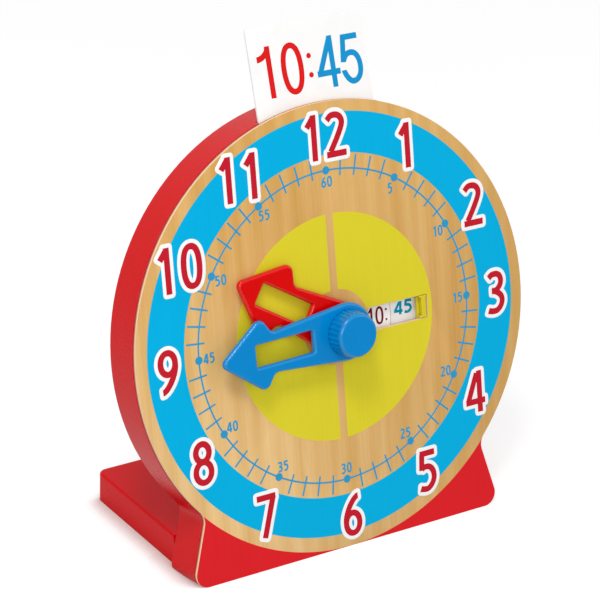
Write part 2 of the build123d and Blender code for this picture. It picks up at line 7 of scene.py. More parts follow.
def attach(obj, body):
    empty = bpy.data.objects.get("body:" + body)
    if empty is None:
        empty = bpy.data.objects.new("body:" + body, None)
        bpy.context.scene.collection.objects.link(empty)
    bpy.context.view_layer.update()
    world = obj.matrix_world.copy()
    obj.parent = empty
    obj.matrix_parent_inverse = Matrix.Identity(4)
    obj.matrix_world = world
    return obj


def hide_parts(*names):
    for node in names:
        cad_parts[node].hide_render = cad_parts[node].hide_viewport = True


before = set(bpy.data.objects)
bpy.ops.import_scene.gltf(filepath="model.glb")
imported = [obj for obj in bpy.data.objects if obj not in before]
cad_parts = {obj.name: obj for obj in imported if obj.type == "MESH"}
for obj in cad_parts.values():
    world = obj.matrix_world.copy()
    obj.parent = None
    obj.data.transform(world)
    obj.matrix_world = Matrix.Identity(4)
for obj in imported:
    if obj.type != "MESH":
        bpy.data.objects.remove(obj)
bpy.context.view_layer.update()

# Camera, floor and lights. The clock stands on a plain white table top in a soft light tent of
# white cloth: one lamp in front on the left, one high on the left, and a wide, weak one on the right.
mm = 0.001


def looking(place, target):
    """A place from which an object's -Z axis points at a target."""
    return (Matrix.Translation(place)
            @ (target - place).to_track_quat("-Z", "Y").to_matrix().to_4x4())


eye = Vector((-0.8726, -1.30078, 0.85703))
aim = Vector((-0.01579, -0.02137, 0.15663))
roll = radians(2.145)
sight = bpy.data.cameras.new("sight")
sight.lens = 162.99
sight.sensor_width = 36.0
camera = bpy.data.objects.new("camera", sight)
bpy.context.scene.collection.objects.link(camera)
camera.matrix_world = looking(eye, aim) @ Matrix.Rotation(roll, 4, "Z")
bpy.context.scene.camera = camera
bpy.context.scene.view_settings.view_transform = "Standard"


def node(tree, kind, sockets=None, **settings):
    """Adds a shader node; a socket is given a value or another node's output."""
    made = tree.nodes.new("ShaderNode" + kind)
    for name, value in settings.items():
        setattr(made, name, value)
    for name, value in (sockets or {}).items():
        if isinstance(value, bpy.types.NodeSocket):
            tree.links.new(value, made.inputs[name])
        else:
            made.inputs[name].default_value = value
    return made


def shown_rays(tree):
    """1 where the camera or a glossy surface looks, otherwise 0."""
    path = node(tree, "LightPath").outputs
    return node(tree, "Math", {0: path["Is Camera Ray"], 1: path["Is Glossy Ray"]},
                operation="MAXIMUM").outputs[0]


def deselect():
    bpy.ops.object.select_all(action="DESELECT")


deselect()
bpy.ops.mesh.primitive_plane_add(size=30.0, location=(0, 0, 0))
table_top = bpy.context.object
table_top.name = "table_top"
paper = bpy.data.materials.new("white paper")
paper.use_nodes = True
tree = paper.node_tree
tree.nodes.remove(tree.nodes["Principled BSDF"])
shown = shown_rays(tree)
lift = node(tree, "Math", {0: shown, 1: 0.60}, operation="MULTIPLY")
# painted shadow on the table: darker close to the object where an occlusion test towards the right front is
# blocked, strongest on the left of the slab, and tinted with painted red light bounced off the lacquer
# beside it
right_front = node(tree, "CombineXYZ", {0: 0.85, 1: -0.5, 2: 0.15}).outputs[0]
shadow_reach = 20 * mm
hidden = node(tree, "AmbientOcclusion", {"Distance": shadow_reach, "Normal": right_front}, samples=16)
clear = node(tree, "MapRange", {"Value": hidden.outputs["AO"], "From Min": 0.29, "From Max": 0.68})
painted_shadow = node(tree, "Mix", {0: clear.outputs["Result"], 6: (0.30, 0.03, 0.0, 1), 7: (1, 1, 1, 1)},
             data_type="RGBA").outputs[2]
dim = node(tree, "Mix", {0: 1.0, 6: painted_shadow, 7: (0.52, 0.52, 0.52, 1)}, data_type="RGBA",
           blend_type="MULTIPLY").outputs[2]
matte = node(tree, "BsdfDiffuse", {"Color": dim})
glow = node(tree, "Emission", {"Color": painted_shadow, "Strength": lift.outputs[0]})
both = node(tree, "AddShader", {0: matte.outputs[0], 1: glow.outputs[0]})
tree.links.new(both.outputs[0], tree.nodes["Material Output"].inputs["Surface"])
table_top.data.materials.append(paper)

world = bpy.data.worlds.new("light tent")
bpy.context.scene.world = world
world.use_nodes = True
tree = world.node_tree
level = node(tree, "MapRange", {"Value": shown_rays(tree), "To Min": 0.58, "To Max": 1.0})
tree.links.new(level.outputs["Result"], tree.nodes["Background"].inputs["Strength"])
tree.nodes["Background"].inputs["Color"].default_value = (1, 1, 1, 1)


def softbox(name, place, size, power):
    """A square lamp that faces the middle of the clock."""
    lamp = bpy.data.lights.new(name, "AREA")
    lamp.size = size
    lamp.energy = power
    box = bpy.data.objects.new(name, lamp)
    bpy.context.scene.collection.objects.link(box)
    box.matrix_world = looking(Vector(place), clock_middle)


clock_middle = Vector((0, 0, 0.15))
softbox("key lamp", (-1.25, -1.65, 1.0), 0.9, 14.0)
softbox("top lamp", (-0.7, -0.7, 1.85), 0.45, 12.0)
softbox("right lamp", (1.6, -1.3, 1.0), 1.2, 4.5)

# Slab foot. One thick piece of board, rounded at its rear corners, sanded, sprayed with red lacquer,
# and held to the case by two dowels and by two countersunk screws from the front.


def effect(name, takes, gives):
    """An empty shader group with named inputs and outputs: its tree, inputs and outputs."""
    group = bpy.data.node_groups.new(name, "ShaderNodeTree")
    for label, kind, value in takes:
        socket = group.interface.new_socket(label, in_out="INPUT", socket_type="NodeSocket" + kind)
        if value is not None:
            socket.default_value = value
    for label, kind in gives:
        group.interface.new_socket(label, in_out="OUTPUT", socket_type="NodeSocket" + kind)
    return group, group.nodes.new("NodeGroupInput").outputs, group.nodes.new("NodeGroupOutput").inputs


def spread(tree, value, low, high, source=(0.0, 1.0)):
    """Rescales a value that lies in the source span to the span from low to high."""
    return node(tree, "MapRange", {"Value": value, "From Min": source[0], "From Max": source[1],
                                   "To Min": low, "To Max": high}).outputs["Result"]


def blend(tree, factor, first, second, mode="MIX"):
    """Mixes two colours."""
    return node(tree, "Mix", {0: factor, 6: first, 7: second}, data_type="RGBA",
                blend_type=mode).outputs[2]


def math(tree, operation, first, second=0.0):
    return node(tree, "Math", {0: first, 1: second}, operation=operation).outputs[0]


def noise(tree, vector, scale, detail=2.0, roughness=0.5, distortion=0.0, stretch=None):
    """Noise on a vector, which is squeezed by stretch first."""
    if stretch:
        vector = node(tree, "Mapping", {"Vector": vector, "Scale": stretch}).outputs[0]
    return node(tree, "TexNoise", {"Vector": vector, "Scale": scale, "Detail": detail,
                                   "Roughness": roughness, "Distortion": distortion}).outputs["Fac"]


surface = [("Color", "Color"), ("Roughness", "Float"), ("Height", "Float")]

# a mask of rounded edges, broken into patches, along which the lacquers and plastics paint highlights, and
# the slab a line of shade, into the colour
edge_lighting, given, put = effect("painted edge lighting", [("Radius", "Float", 1.2 * mm)], [("Mask", "Float")])
round_off = node(edge_lighting, "Bevel", {"Radius": given["Radius"]}, samples=6)
flat = node(edge_lighting, "NewGeometry")
facing = node(edge_lighting, "VectorMath", {0: round_off.outputs[0], 1: flat.outputs["Normal"]},
              operation="DOT_PRODUCT").outputs["Value"]
patches = noise(edge_lighting, node(edge_lighting, "TexCoord").outputs["Object"], 160.0, 3.0)
edge = spread(edge_lighting, facing, 1.0, 0.0, (0.86, 0.995))
edge_lighting.links.new(math(edge_lighting, "MULTIPLY", edge, spread(edge_lighting, patches, 0.2, 1.0, (0.35, 0.6))),
                 put["Mask"])

lacquered, given, put = effect(
    "sprayed lacquer", [("Vector", "Vector", None), ("Colour", "Color", (1, 1, 1, 1)),
                        ("Rubbed colour", "Color", (1, 1, 1, 1)), ("Edge lighting", "Float", 0.3)], surface)
clouds = noise(lacquered, given["Vector"], 11.0, 4.0)
peel = noise(lacquered, given["Vector"], 520.0, 1.0)
specks = noise(lacquered, given["Vector"], 1500.0, 2.0, 0.7)
tone = blend(lacquered, 1.0, given["Colour"],
             node(lacquered, "CombineColor", {0: spread(lacquered, clouds, 0.93, 1.06),
                                              1: spread(lacquered, clouds, 0.85, 1.16),
                                              2: spread(lacquered, clouds, 0.87, 1.14)}).outputs[0],
             "MULTIPLY")
# painted edge lighting: the edge mask mixes the edge lighting colour into the lacquer
painted_edges = node(lacquered, "Group", node_tree=edge_lighting).outputs["Mask"]
tone = blend(lacquered, math(lacquered, "MULTIPLY", painted_edges, given["Edge lighting"]), tone,
             given["Rubbed colour"])
lacquered.links.new(tone, put["Color"])
lacquered.links.new(math(lacquered, "ADD", spread(lacquered, clouds, 0.2, 0.34),
                         spread(lacquered, specks, -0.03, 0.04)), put["Roughness"])
lacquered.links.new(math(lacquered, "ADD", peel, math(lacquered, "MULTIPLY", specks, 0.25)),
                    put["Height"])


def finish(name, group, relief, takes=None, turn=None, **constant):
    """A material whose colour, roughness and relief come from a surface group."""
    made = bpy.data.materials.new(name)
    made.use_nodes = True
    tree = made.node_tree
    shader = tree.nodes["Principled BSDF"]
    vector = node(tree, "TexCoord").outputs["Object"]
    if turn:
        vector = node(tree, "Mapping", {"Vector": vector, **turn}).outputs[0]
    look = node(tree, "Group", node_tree=group)
    tree.links.new(vector, look.inputs["Vector"])
    for label, value in (takes or {}).items():
        look.inputs[label].default_value = value
    bump = node(tree, "Bump", {"Height": look.outputs["Height"], "Distance": relief,
                               "Strength": 1.0})
    tree.links.new(look.outputs["Color"], shader.inputs["Base Color"])
    tree.links.new(look.outputs["Roughness"], shader.inputs["Roughness"])
    tree.links.new(bump.outputs[0], shader.inputs["Normal"])
    if "Polish" in look.outputs:
        tree.links.new(look.outputs["Polish"], shader.inputs["Coat Weight"])
        shader.inputs["Coat Roughness"].default_value = 0.12
    for label, value in constant.items():
        shader.inputs[label.replace("_", " ")].default_value = value
    return made


def coat(material, *names):
    """Gives nodes of the frame this material."""
    for name in names:
        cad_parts[name].material_slots[0].material = material


# painted highlight: paler red along the case's rounded edges
red_lacquer = finish("red lacquer", lacquered, 0.00002,
                     {"Colour": (0.70, 0.002, 0.004, 1), "Rubbed colour": (0.85, 0.12, 0.13, 1),
                      "Edge lighting": 0.35}, Specular_IOR_Level=0.09)
coat(red_lacquer, "case_body")
# painted shade: a dark line along the slab's edges
slab_lacquer = finish("slab lacquer", lacquered, 0.00002,
                      {"Colour": (0.72, 0.002, 0.006, 1), "Rubbed colour": (0.06, 0.0, 0.001, 1),
                       "Edge lighting": 1.0}, Specular_IOR_Level=0.07)
coat(slab_lacquer, "foot_slab")

timber, given, put = effect(
    "planed timber", [("Vector", "Vector", None), ("Light", "Color", (1, 1, 1, 1)),
                      ("Dark", "Color", (0.5, 0.5, 0.5, 1)), ("Gloss", "Float", 0.5),
                      ("Sheen colour", "Color", (1, 1, 1, 1))], surface)
drift = noise(timber, given["Vector"], 9.0, 2.0, stretch=(1, 0.25, 1))
figure = noise(timber, given["Vector"], 34.0, 3.0, 0.55, 0.6, stretch=(1, 0.09, 1))
fibre = noise(timber, given["Vector"], 620.0, 3.0, 0.6, stretch=(1, 0.025, 1))
pores = noise(timber, given["Vector"], 1900.0, 1.0, stretch=(1, 0.05, 1))
rings = node(timber, "TexWave", {"Vector": node(timber, "Mapping", {
    "Vector": given["Vector"], "Scale": (1, 0.07, 1)}).outputs[0],
    "Scale": 22.0, "Distortion": 7.0, "Detail": 2.0, "Detail Scale": 0.9}, wave_type="BANDS",
    bands_direction="X").outputs["Fac"]
shade = math(timber, "ADD", math(timber, "MULTIPLY", figure, 0.8), math(timber, "MULTIPLY", drift, 0.5))
shade = math(timber, "ADD", shade, math(timber, "MULTIPLY", fibre, 0.45))
shade = math(timber, "ADD", shade, math(timber, "MULTIPLY", rings, 0.16))
grain = blend(timber, spread(timber, shade, 0.0, 1.0, (0.62, 1.25)), given["Light"], given["Dark"])
dark_pores = spread(timber, pores, 0.0, 0.22, (0.6, 0.72))
# painted sheen: the wood turns paler and greyer towards the lower left of the dial
sheen_side = (-0.6, -0.8, 0)
painted_sheen = node(timber, "VectorMath", {0: given["Vector"], 1: sheen_side},
               operation="DOT_PRODUCT").outputs["Value"]
grain = blend(timber, spread(timber, painted_sheen, 0.0, 1.0, (-0.03, 0.12)), grain, given["Sheen colour"],
              "MULTIPLY")
timber.links.new(blend(timber, dark_pores, grain, given["Dark"]), put["Color"])
timber.links.new(math(timber, "ADD", given["Gloss"], spread(timber, fibre, -0.07, 0.09)),
                 put["Roughness"])
timber.links.new(math(timber, "SUBTRACT", fibre, dark_pores), put["Height"])

beech = finish("bare beech", timber, 0.00003,
               {"Light": (0.66, 0.43, 0.23, 1), "Dark": (0.43, 0.23, 0.10, 1), "Gloss": 0.55},
               {"Rotation": (0, radians(90), 0)})
coat(beech, "slab_dowels", "plate_pillars", "shutter_rail_upper", "shutter_rail_lower")

metal, given, put = effect(
    "worked metal", [("Vector", "Vector", None), ("Colour", "Color", (1, 1, 1, 1)),
                     ("Dull", "Float", 0.3)], surface)
lines = noise(metal, given["Vector"], 2400.0, 2.0, 0.6, stretch=(1, 1, 0.03))
blotch = noise(metal, given["Vector"], 120.0, 3.0)
metal.links.new(blend(metal, spread(metal, blotch, 0.0, 0.35, (0.4, 0.7)), given["Colour"],
                      (0.30, 0.28, 0.25, 1)), put["Color"])
metal.links.new(math(metal, "ADD", given["Dull"], spread(metal, lines, -0.08, 0.12)),
                put["Roughness"])
metal.links.new(lines, put["Height"])
zinc = finish("zinc plate", metal, 0.000004, {"Colour": (0.62, 0.64, 0.67, 1), "Dull": 0.32},
              Metallic=1.0)
coat(zinc, "slab_screws", "back_cover_screws", "plate_screws")

# Case. A round rim, a solid bottom and a notch for the card, cut from one thick board and sprayed
# with the same red lacquer; a hardboard cover is screwed into a rebate at the back.
pressed, given, put = effect(
    "pressed fibre", [("Vector", "Vector", None), ("Colour", "Color", (1, 1, 1, 1))], surface)
flecks = noise(pressed, given["Vector"], 420.0, 5.0, 0.75)
broad = noise(pressed, given["Vector"], 14.0, 3.0)
fine = noise(pressed, given["Vector"], 2600.0, 2.0)
fibres = math(pressed, "ADD", math(pressed, "MULTIPLY", flecks, 0.7), math(pressed, "MULTIPLY", broad, 0.3))
pressed.links.new(blend(pressed, spread(pressed, fibres, 0.0, 1.0, (0.38, 0.62)), given["Colour"],
                        (0.10, 0.05, 0.022, 1)), put["Color"])
pressed.links.new(spread(pressed, flecks, 0.42, 0.6), put["Roughness"])
pressed.links.new(math(pressed, "ADD", flecks, math(pressed, "MULTIPLY", fine, 0.4)), put["Height"])
hardboard = finish("hardboard", pressed, 0.00005, {"Colour": (0.30, 0.16, 0.075, 1)})
coat(hardboard, "back_cover")

# Dial board. Three-ply birch, 3 mm thick, sawn to the outline of the case, with an upright grain and
# satin lacquer on its face; its raw edge has a sanded arris, and at the back red overspray from the case,
# darkened as painted shade of the gap.
board_thickness = 3.0 * mm
dial_middle = (0, -40.02 * mm, 141.35 * mm)
dial_lean = radians(11)
dial_tilt = radians(90) - dial_lean
dial_place = Matrix.Translation(dial_middle) @ Matrix.Rotation(dial_tilt, 4, "X")
dial_turn = {"Rotation": (-dial_tilt, 0, 0), "Location": dial_place.inverted().translation}
print_place = dial_place @ Matrix.Translation((0, 0.8 * mm, 0))    # printed a little high


def edit(piece, kind="EDGE"):
    """Opens one piece in edit mode with nothing selected."""
    deselect()
    piece.select_set(True)
    bpy.context.view_layer.objects.active = piece
    bpy.ops.object.mode_set(mode="EDIT")
    bpy.ops.mesh.select_mode(type=kind)
    bpy.ops.mesh.select_all(action="DESELECT")


def done():
    bpy.ops.object.mode_set(mode="OBJECT")


def select_faces(piece, test):
    """Selects the faces of a piece in edit mode that pass a test."""
    done()
    for face in piece.data.polygons:
        face.select = test(face)
    bpy.ops.object.mode_set(mode="EDIT")


def settle(piece, place):
    """Puts a piece's place into its mesh."""
    piece.data.transform(place @ piece.matrix_world)
    piece.matrix_world = Matrix.Identity(4)


frame_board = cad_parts["front_board"]
merge_distance = 0.004 * mm


def copy_board(board, name):
    """Copies a board, flat about the dial's middle, and leaves it selected in edit mode."""
    copy = board.copy()
    copy.data = frame_board.data.copy()
    copy.name = name
    bpy.context.scene.collection.objects.link(copy)
    settle(copy, dial_place.inverted())
    edit(copy, "VERT")
    bpy.ops.mesh.customdata_custom_splitnormals_clear()
    bpy.ops.mesh.select_all(action="SELECT")
    bpy.ops.mesh.remove_doubles(threshold=merge_distance)
    return copy


arris = 0.3 * mm
dial_board = copy_board(frame_board, "dial_board")
bpy.ops.mesh.dissolve_limited(angle_limit=radians(0.05))
bpy.ops.mesh.select_mode(type="EDGE")
bpy.ops.mesh.select_all(action="DESELECT")
bpy.ops.mesh.edges_select_sharp(sharpness=radians(60))
bpy.ops.mesh.bevel(offset=arris, segments=2, affect="EDGES", clamp_overlap=True)
done()
bpy.ops.object.shade_smooth_by_angle(angle=radians(35))
settle(dial_board, dial_place)

# its sheen colour paints a paler, greyer lower left on the dial
birch = finish("lacquered birch", timber, 0.000012,
               {"Light": (0.76, 0.475, 0.175, 1), "Dark": (0.60, 0.315, 0.075, 1), "Gloss": 0.42,
                "Sheen colour": (1.14, 1.27, 1.70, 1)},
               dial_turn, Specular_IOR_Level=0.15)
plies, given, put = effect(
    "sawn plies", [("Vector", "Vector", None), ("Light", "Color", (1, 1, 1, 1)),
                   ("Dark", "Color", (0.5, 0.5, 0.5, 1)), ("Paint", "Color", (0, 0, 0, 1))], surface)
depth = node(plies, "SeparateXYZ", {0: given["Vector"]}).outputs["Z"]
core = spread(plies, math(plies, "ABSOLUTE", math(plies, "ADD", depth, board_thickness / 2)), 1.0, 0.0,
              (0.42 * mm, 0.55 * mm))
saw = noise(plies, given["Vector"], 900.0, 3.0, stretch=(1, 1, 0.15))
bare = blend(plies, math(plies, "MULTIPLY", core, spread(plies, saw, 0.4, 1.0)), given["Light"],
             given["Dark"])
wavy = math(plies, "ADD", depth, math(plies, "MULTIPLY", saw, 0.3 * mm))
# painted shade: the back of the raw edge turns dark red, on the outer rim only, beside the shaded groove
# between board and case
gap_shaded = spread(plies, wavy, 0.9, 0.0, (-1.9 * mm, -1.5 * mm))
from_middle = node(plies, "VectorMath", {0: given["Vector"]}, operation="LENGTH").outputs["Value"]
gap_shaded = math(plies, "MULTIPLY", gap_shaded, spread(plies, from_middle, 0.0, 1.0, (100 * mm, 110 * mm)))
plies.links.new(blend(plies, gap_shaded, bare, given["Paint"]), put["Color"])
plies.links.new(spread(plies, saw, 0.55, 0.75), put["Roughness"])
plies.links.new(saw, put["Height"])
ply_edge = finish("ply edge", plies, 0.00004,
                  {"Light": (0.95, 0.66, 0.42, 1), "Dark": (0.86, 0.52, 0.30, 1),
                   "Paint": (0.32, 0.004, 0.006, 1)}, dial_turn)
dial_board.data.materials.clear()
dial_board.data.materials.append(birch)
dial_board.data.materials.append(ply_edge)
outward = (dial_place.to_3x3() @ Vector((0, 0, 1))).normalized()
for face in dial_board.data.polygons:
    face.material_index = 0 if abs(face.normal.dot(outward)) > 0.8 else 1
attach(dial_board, "root")
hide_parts("front_board")

# Colours of the dial, silk-screened over the lacquer one after another: a blue hour ring, two yellow
# half rounds, the red corners of the foot, then the minute track.
printed, given, put = effect(
    "screen ink", [("Vector", "Vector", None), ("Colour", "Color", (1, 1, 1, 1)),
                   ("Gloss", "Float", 0.4)], surface)
under = noise(printed, given["Vector"], 620.0, 3.0, 0.6, stretch=(1, 0.025, 1))
mottle = noise(printed, given["Vector"], 18.0, 3.0)
mesh_mark = noise(printed, given["Vector"], 1700.0, 1.0)
show = math(printed, "ADD", math(printed, "MULTIPLY", under, 0.5), math(printed, "MULTIPLY", mottle, 0.5))
printed.links.new(blend(printed, 1.0, given["Colour"],
                        node(printed, "CombineColor", {n: spread(printed, show, low, high, (0.3, 0.7))
                                                       for n, (low, high) in enumerate(
                                                           [(0.955, 1.045), (0.965, 1.035), (0.96, 1.04)])}
                             ).outputs[0], "MULTIPLY"), put["Color"])
printed.links.new(math(printed, "ADD", given["Gloss"], spread(printed, under, -0.05, 0.07)),
                  put["Roughness"])
printed.links.new(math(printed, "ADD", under, math(printed, "MULTIPLY", mesh_mark, 0.3)), put["Height"])


def ink(name, colour, gloss=0.42):
    return finish(name, printed, 0.000010, {"Colour": (*colour, 1), "Gloss": gloss}, dial_turn,
                  Specular_IOR_Level=0.06)


blue_ink = ink("blue ink", (0.0, 0.43, 0.76))
yellow_ink = ink("yellow ink", (0.72, 0.63, 0.028))
red_ink = ink("red ink", (0.72, 0.016, 0.022), 0.34)
ink_rise = 0.05 * mm


def raise_print(piece):
    """Lifts a flat shape into a film of ink that is open nowhere."""
    edit(piece)
    bpy.ops.mesh.select_all(action="SELECT")
    bpy.ops.mesh.extrude_region_move(TRANSFORM_OT_translate={"value": (0, 0, ink_rise)})
    bpy.ops.mesh.select_all(action="SELECT")
    bpy.ops.mesh.normals_make_consistent(inside=False)
    done()


def flat_ring(name, inner, outer, sides=360):
    """A flat ring round the hands' axis, drawn by pulling a circle wider."""
    deselect()
    bpy.ops.mesh.primitive_circle_add(vertices=sides, radius=inner)
    ring = bpy.context.object
    ring.name = name
    edit(ring)
    bpy.ops.mesh.select_all(action="SELECT")
    bpy.ops.mesh.extrude_region_move()
    bpy.ops.transform.resize(value=(outer / inner, outer / inner, 1))
    done()
    raise_print(ring)
    return ring


def apply_cut(piece, cutter):
    """Cuts one shape from another and throws the cutter away."""
    deselect()
    bpy.context.view_layer.objects.active = piece
    cut = piece.modifiers.new("cut", "BOOLEAN")
    cut.object = cutter
    cut.operation = "DIFFERENCE"
    cut.solver = "EXACT"
    bpy.ops.object.modifier_apply(modifier=cut.name)
    bpy.data.objects.remove(cutter)


def on_board(piece, material, body="root", place=print_place):
    """Settles a printed piece on the dial and names what it is made of and moves with."""
    piece.data.materials.clear()
    piece.data.materials.append(material)
    settle(piece, place)
    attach(piece, body)


ring_inner = 109.8 * mm
ring_outer = 135.5 * mm
hour_ring = flat_ring("hour_ring", ring_inner, ring_outer)
on_board(hour_ring, blue_ink)

yellow_radius = 72.7 * mm
hub_clearing = 24 * mm
halves_gap = 5.4 * mm
window_middle = (44.65 * mm, -0.5 * mm, 0)
window_length = 50.0 * mm
window_height = 15.7 * mm
cutter_depth = 2 * mm
deselect()
bpy.ops.mesh.primitive_circle_add(vertices=240, radius=yellow_radius, fill_type="NGON")
yellow_halves = bpy.context.object
yellow_halves.name = "yellow_halves"
raise_print(yellow_halves)
deselect()
bpy.ops.mesh.primitive_cylinder_add(vertices=96, radius=hub_clearing, depth=cutter_depth)
apply_cut(yellow_halves, bpy.context.object)
deselect()
bpy.ops.mesh.primitive_cube_add(size=1, location=(0, 0, 0),
                                scale=(halves_gap, 200 * mm, cutter_depth))
apply_cut(yellow_halves, bpy.context.object)
deselect()
bpy.ops.mesh.primitive_cube_add(size=1, location=window_middle,
                                scale=(window_length, window_height, cutter_depth))
apply_cut(yellow_halves, bpy.context.object)
on_board(yellow_halves, yellow_ink)

corners_inner = 144.0 * mm
red_corners = copy_board(dial_board, "red_corners")
done()
deselect()
bpy.ops.mesh.primitive_cylinder_add(vertices=360, radius=corners_inner, depth=20 * mm)
apply_cut(red_corners, bpy.context.object)
edit(red_corners, "FACE")
select_faces(red_corners, lambda face: face.normal.z < 0.9 or face.center.z < -1 * mm)
bpy.ops.mesh.delete(type="FACE")
bpy.ops.mesh.select_all(action="SELECT")
bpy.ops.mesh.remove_doubles(threshold=merge_distance)
done()
raise_print(red_corners)
bpy.ops.object.shade_flat()
on_board(red_corners, red_ink, place=dial_place)

track_radius = 100.0 * mm
line_width = 1.1 * mm
tick_middle = 102.1 * mm
tick_length = 12.8 * mm
tick_width = 1.15 * mm
dot_radius = 2.6 * mm


def around(radius, bearing, high):
    """A point at a distance from the hands' axis."""
    return (radius * cos(bearing), radius * sin(bearing), high)


minute_track = flat_ring("minute_track", track_radius - line_width / 2, track_radius + line_width / 2)
marks = [minute_track]
for minute in range(60):
    deselect()
    bearing = radians(90 - 6 * minute)
    if minute % 5:
        bpy.ops.mesh.primitive_plane_add(size=1, location=around(tick_middle, bearing, 0.01 * mm),
                                         rotation=(0, 0, bearing))
        bpy.context.object.scale = (tick_length, tick_width, 1)
    else:
        bpy.ops.mesh.primitive_circle_add(vertices=40, radius=dot_radius, fill_type="NGON",
                                          location=around(track_radius, bearing, 0.02 * mm))
    mark = bpy.context.object
    bpy.ops.object.transform_apply(location=True, rotation=True, scale=True)
    raise_print(mark)
    marks.append(mark)


def weld(name, parts):
    """Joins pieces of one finish into one."""
    deselect()
    for part in parts:
        part.select_set(True)
    bpy.context.view_layer.objects.active = parts[0]
    bpy.ops.object.join()
    parts[0].name = name
    return parts[0]


minute_track = weld("minute_track", marks)
track_ink = ink("track ink", (0.03, 0.32, 0.58))
on_board(minute_track, track_ink)

# Figures. Round-cornered red numerals with a white border for the hours, thin blue ones for every
# fifth minute; each is drawn once as pen strokes, 29 mm tall, and then scaled, copied and printed.
# A stroke is its points, each with the handle that leads on from it; True closes the stroke.
pen_strokes = {
    "0": [(True, (0, 12.4, 3.7, 0), (5.5, 0, 0, -8), (0, -12.4, -3.7, 0), (-5.5, 0, 0, 8))],
    "1": [(False, (2.3, 14.5, 0, 0), (2.3, -14.5, 0, 0)), (False, (2.3, 13.2, 0, 0), (-2.6, 7.0, 0, 0))],
    "2": [(False, (-5.9, 9.4, 2, 1.9), (-0.6, 12.3, 3.2, 0), (4.9, 6.9, 0, -3.2),
           (-4.4, -10.6, -2.4, -3.6)), (False, (-7.2, -12.3, 0, 0), (7.3, -12.3, 0, 0))],
    "3": [(False, (-5.1, 10.4, 2.2, 1.6), (-0.3, 12.4, 3, 0), (4.5, 7.2, 0, -3.4),
           (-0.6, 1.2, -1.6, 0), (-3, 1.2, 0, 0)),
          (False, (-2.6, 1.2, 2.6, 0), (5, -5.5, 0, -3.9), (-0.8, -12.4, -2.6, 0),
           (-6.2, -11.3, -1.8, 0.8))],
    "4": [(False, (1.6, 12.6, 0, 0), (-5.7, -5.4, 0, 0)), (False, (-7.7, -6.5, 0, 0), (7.6, -6.5, 0, 0)),
          (False, (3.4, 14.1, 0, 0), (3.4, -14.1, 0, 0))],
    "5": [(False, (-5.6, 12.1, 0, 0), (5.9, 12.1, 0, 0)), (False, (-3.9, 12.1, 0, 0), (-4.6, 1.0, 0, 0)),
          (False, (-4.3, 1.9, 1.6, 0.9), (-0.6, 3, 3, 0), (4.9, -4.2, 0, -4.2),
           (-1.2, -12.2, -2.6, 0), (-6, -11.2, 0, 0))],
    "6": [(False, (4.9, 12.0, -3.4, -0.2), (-5.1, -4.5, 0, -7)),
          (True, (0.1, 1.2, 2.9, 0), (5.2, -5.6, 0, -3.8), (0.1, -12.4, -2.9, 0), (-5.0, -5.6, 0, 3.8))],
    "7": [(False, (-7.2, 12.2, 0, 0), (6.6, 12.2, 0, 0)), (False, (4.9, 12.2, 0, 0), (-3, -14.3, 0, 0))],
    "8": [(True, (0, 12.4, 2.6, 0), (4.7, 6.7, 0, -3.1), (0, 1.0, -2.6, 0), (-4.7, 6.7, 0, 3.1)),
          (True, (0, 0.7, 3.0, 0), (5.5, -5.9, 0, -3.6), (0, -12.5, -3.0, 0), (-5.5, -5.9, 0, 3.6))],
}
pen_strokes["9"] = [(loop, *[(-x, -y, -run, -climb) for x, y, run, climb in points])
                    for loop, *points in pen_strokes["6"]]


def pen_nib(half, rise):
    """Cross-section of a stroke: thin, and low at its sides."""
    deselect()
    bpy.ops.curve.primitive_bezier_curve_add()
    nib = bpy.context.object
    nib.data.splines.clear()
    line = nib.data.splines.new("POLY")
    shape = [(-1, 0), (-0.93, 0.6), (-0.7, 0.9), (0, 1), (0.7, 0.9), (0.93, 0.6), (1, 0), (0, -0.5)]
    line.points.add(len(shape) - 1)
    for point, (across, high) in zip(line.points, shape):
        point.co = (across * half, high * rise, 0, 1)
    line.use_cyclic_u = True
    return nib


def draw_figure(name, strokes, height, stroke, rise, border=0.0, widen=1.0):
    """One figure as a mesh. A border draws it wider, longer and with rounded ends."""
    size = (height - stroke) / 24.8
    half = stroke / 2 + border
    nib = pen_nib(half * mm, rise)
    deselect()
    bpy.ops.curve.primitive_bezier_curve_add()
    drawn = bpy.context.object
    drawn.name = name
    pen = drawn.data
    pen.splines.clear()
    pen.twist_mode = "Z_UP"
    pen.bevel_mode = "OBJECT"
    pen.bevel_object = nib
    pen.use_fill_caps = True
    pen.resolution_u = 10
    for loop, *points in strokes:
        path = [[Vector((x * widen, y, 0)) * size * mm, Vector((run * widen, climb, 0)) * size * mm, 1.0]
                for x, y, run, climb in points]
        first, last = (None, None) if loop else (path[0][0], path[-1][0])
        if border and not loop:
            for end, inner, forward in ((0, 1, 1), (-1, -2, -1)):
                here, handle, _ = path[end]
                other, bend, _ = path[inner]
                lean = handle if handle.length else (other + bend * forward - here) * forward
                away = lean.normalized() * -forward
                tip = [(here + away * border * reach * mm, Vector((0, 0, 0)),
                        (stroke / 2 + border * sqrt(1 - reach ** 2)) / half)
                       for reach in (0.5, 0.79, 0.96, 1.0)]
                path = tip[::-1] + path if end == 0 else path + tip
        line = pen.splines.new("BEZIER")
        line.bezier_points.add(len(path) - 1)
        line.use_cyclic_u = loop
        for point, (here, handle, width) in zip(line.bezier_points, path):
            point.handle_left_type = point.handle_right_type = "FREE"
            point.co = here
            point.handle_left = here if here == first else here - handle
            point.handle_right = here if here == last else here + handle
            point.radius = width
    bpy.context.view_layer.objects.active = drawn
    drawn.select_set(True)
    bpy.ops.object.convert(target="MESH")
    bpy.data.objects.remove(nib)
    return drawn


def draw_set(name, strokes, **pen):
    """Draws every figure of a set with one pen."""
    return {figure: draw_figure(name + " " + figure, lines, **pen) for figure, lines in strokes.items()}


